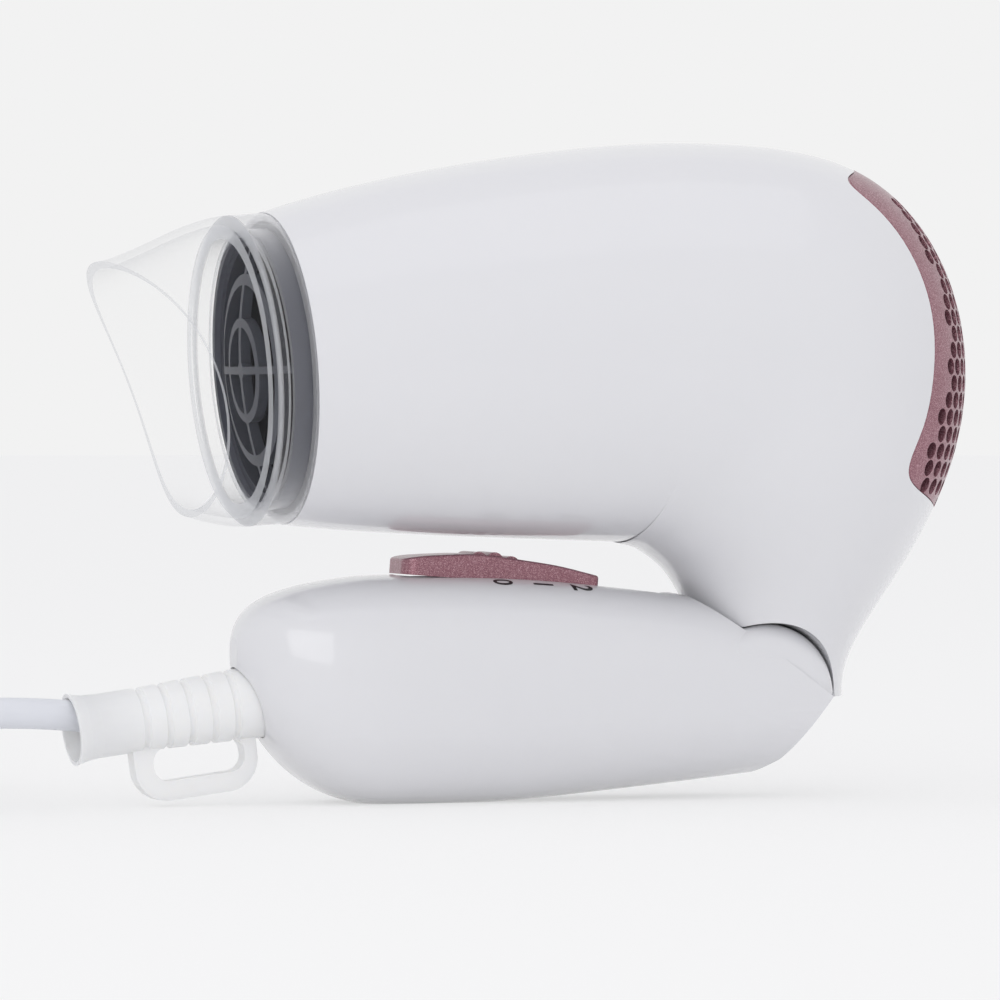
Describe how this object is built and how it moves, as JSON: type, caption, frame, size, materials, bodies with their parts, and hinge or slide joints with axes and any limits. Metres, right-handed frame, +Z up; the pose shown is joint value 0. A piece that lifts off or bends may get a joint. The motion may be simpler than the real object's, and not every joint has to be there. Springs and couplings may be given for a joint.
{
  "type": "folding hair dryer",
  "caption": "Folding travel hair dryer lying folded: curved barrel hinged on its handle, rose rear grille, clear nozzle, slide switch, strain relief with hanging loop, cord and plug.",
  "frame": {"origin": "on the table plane under the handle, in the middle of the flat that the folded dryer rests on, in the dryer's plane of symmetry", "axes": "+Z up from the table, +X along the handle from the cord end towards the fold hinge, so the nozzle points along -X, +Y across the dryer to its right-hand half"},
  "size_m": [0.2969, 0.1269, 0.1317],
  "materials": {
    "white_shell": "gloss pearl white, moulded",
    "rose_metallic": "rose metallic lacquer with fine flakes",
    "grey_plastic": "dark grey heat-resistant plastic",
    "clear_plastic": "clear moulded plastic, polished",
    "soft_vinyl": "translucent soft white vinyl",
    "cord_vinyl": "light blue-grey vinyl",
    "lead_vinyl": "insulated lead",
    "tie_plastic": "nylon strip",
    "nylon": "natural nylon",
    "black_plastic": "black heat-resistant plastic",
    "circuit_board": "green laminate",
    "yellow_film": "film capacitor case",
    "screw_steel": "zinc-plated",
    "pin_steel": "ground steel",
    "nickel": "nickel-plated brass",
    "copper": "copper strip",
    "mesh_steel": "woven wire",
    "mica": "mica sheet",
    "heater_wire": "nichrome",
    "thermal_brass": "plain brass case",
    "motor_steel": "drawn steel can"
  },
  "bodies": {
    "handle": {"handle_front_shell": "white_shell", "handle_back_shell": "white_shell", "handle_screws": "screw_steel", "hinge_pin": "pin_steel", "hinge_washers": "nylon", "hinge_cap": "white_shell", "switch_body": "black_plastic", "control_board": "circuit_board", "suppression_capacitor": "yellow_film", "cord_clamp": "nylon", "clamp_screws": "screw_steel", "strain_relief": "soft_vinyl", "cord_inner_end": "cord_vinyl", "supply_leads": "lead_vinyl", "cord_tube": "cord_vinyl", "cord_coil": "cord_vinyl", "cable_tie": "tie_plastic", "cord_tail": "cord_vinyl", "plug_relief": "cord_vinyl", "plug_body": "cord_vinyl", "plug_pins": "nickel"},
    "barrel": {"barrel_left_shell": "white_shell", "barrel_right_shell": "white_shell", "barrel_screws": "screw_steel", "rear_grille": "rose_metallic", "intake_mesh": "mesh_steel", "outlet_ring": "grey_plastic", "outlet_grille": "grey_plastic", "mica_sleeve": "mica", "mica_board_upright": "mica", "mica_board_flat": "mica", "heater_windings": "heater_wire", "thermal_cutout": "thermal_brass", "rectifier_board": "circuit_board", "motor_bracket": "black_plastic", "motor_can": "motor_steel"},
    "fan": {"axial_fan": "black_plastic", "motor_shaft": "pin_steel"},
    "collar": {"nozzle_collar": "clear_plastic"},
    "mouthpiece": {"nozzle_mouthpiece": "clear_plastic"},
    "slider": {"switch_slider": "rose_metallic", "switch_contact": "copper"}
  },
  "joints": [
    {"name": "barrel_fold", "type": "hinge", "parent": "handle", "child": "barrel", "pos_m": [0.0618, 0, 0.021], "axis": [0, 1, 0], "range_deg": [0, 80]},
    {"name": "fan_spin", "type": "hinge", "parent": "barrel", "child": "fan", "pos_m": [0.0468, 0, 0.09216], "axis": [0.9976, 0, 0.0698], "continuous": true},
    {"name": "nozzle_slide", "type": "slide", "parent": "barrel", "child": "collar", "axis": [-0.9976, 0, -0.0698], "range_m": [0, 0.0068]},
    {"name": "nozzle_turn", "type": "hinge", "parent": "collar", "child": "mouthpiece", "pos_m": [-0.037, 0, 0.0863], "axis": [0.9976, 0, 0.0698], "continuous": true},
    {"name": "switch_slide", "type": "slide", "parent": "handle", "child": "slider", "axis": [0.9971, 0, -0.0767], "range_m": [0, 0.0164]}
  ]
}
